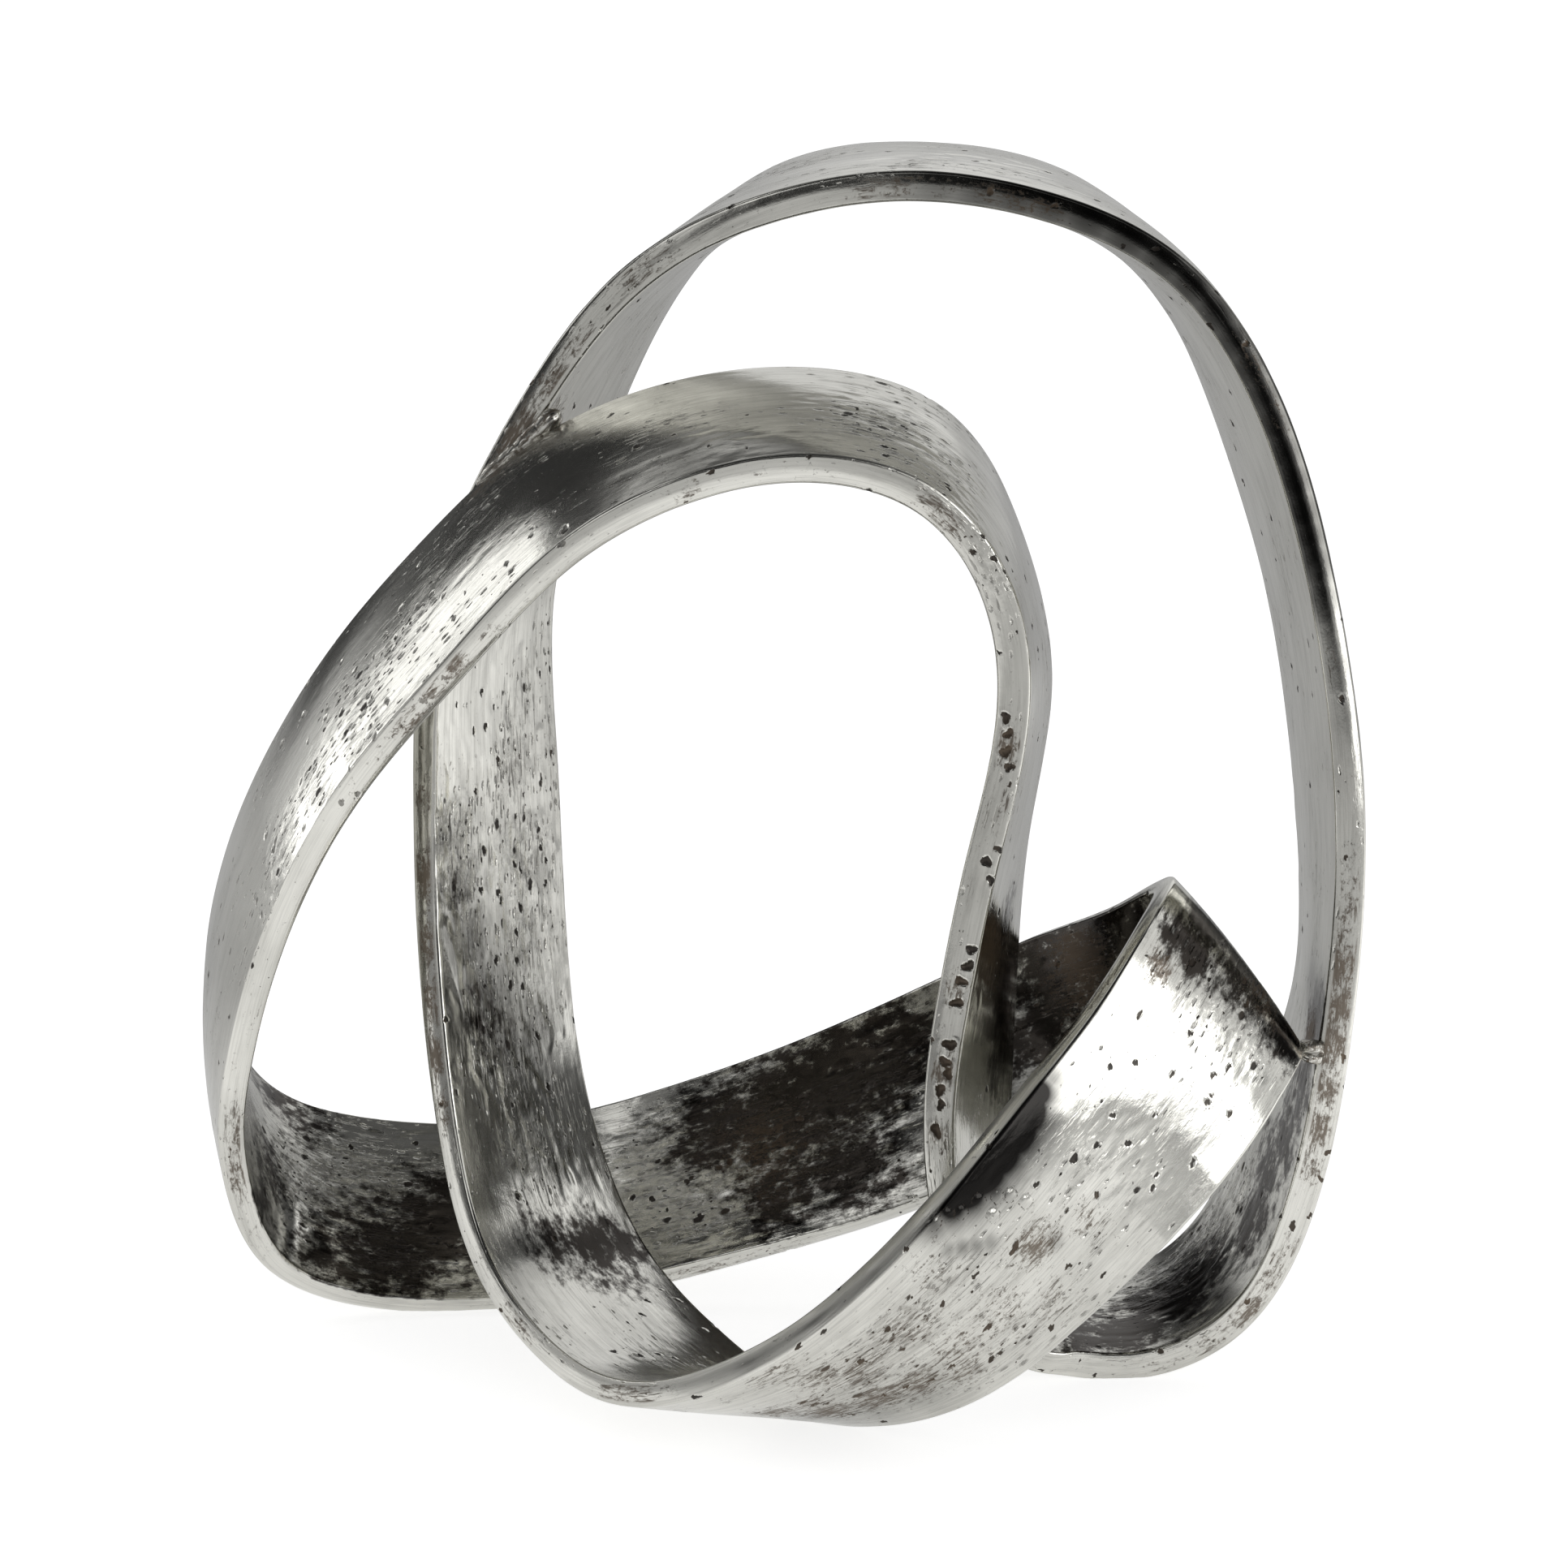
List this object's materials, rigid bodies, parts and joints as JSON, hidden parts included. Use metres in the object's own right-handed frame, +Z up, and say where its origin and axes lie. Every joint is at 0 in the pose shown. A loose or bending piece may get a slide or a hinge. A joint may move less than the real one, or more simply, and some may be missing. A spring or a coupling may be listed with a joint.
{
  "type": "knot sculpture",
  "caption": "Free-standing knot of a flat cast-aluminium band that turns over on itself, welded from bent lengths, standing on its low bends; antiqued and hand-ground",
  "frame": {"origin": "on the table plane, under the middle of the knot's bounding box", "axes": "+Z up, -Y towards the viewer of the picture, +X to the viewer's right"},
  "size_m": [0.2856, 0.1682, 0.2931],
  "materials": {
    "cast_aluminium": "sand-cast, hand-ground lengthwise, dark patina left in the pits, clear lacquer",
    "weld_metal": "weld bead ground flush or left as a fillet, under the same patina"
  },
  "bodies": {
    "root": {"outer_arch_left": "cast_aluminium", "front_drop": "cast_aluminium", "front_foot": "cast_aluminium", "front_sweep": "cast_aluminium", "fold": "cast_aluminium", "back_band": "cast_aluminium", "left_foot": "cast_aluminium", "left_arch": "cast_aluminium", "inner_arch": "cast_aluminium", "inner_leg": "cast_aluminium", "right_foot": "cast_aluminium", "outer_arch_right": "cast_aluminium", "weld_outer_arch_right_to_outer_arch_left": "weld_metal", "weld_outer_arch_left_to_front_drop": "weld_metal", "weld_front_drop_to_front_foot": "weld_metal", "weld_front_foot_to_front_sweep": "weld_metal", "weld_front_sweep_to_fold": "weld_metal", "weld_fold_to_back_band": "weld_metal", "weld_back_band_to_left_foot": "weld_metal", "weld_left_foot_to_left_arch": "weld_metal", "weld_left_arch_to_inner_arch": "weld_metal", "weld_inner_arch_to_inner_leg": "weld_metal", "weld_inner_leg_to_right_foot": "weld_metal", "weld_right_foot_to_outer_arch_right": "weld_metal", "arch_crossing_weld": "weld_metal", "fold_tip_weld": "weld_metal"}
  },
  "joints": []
}
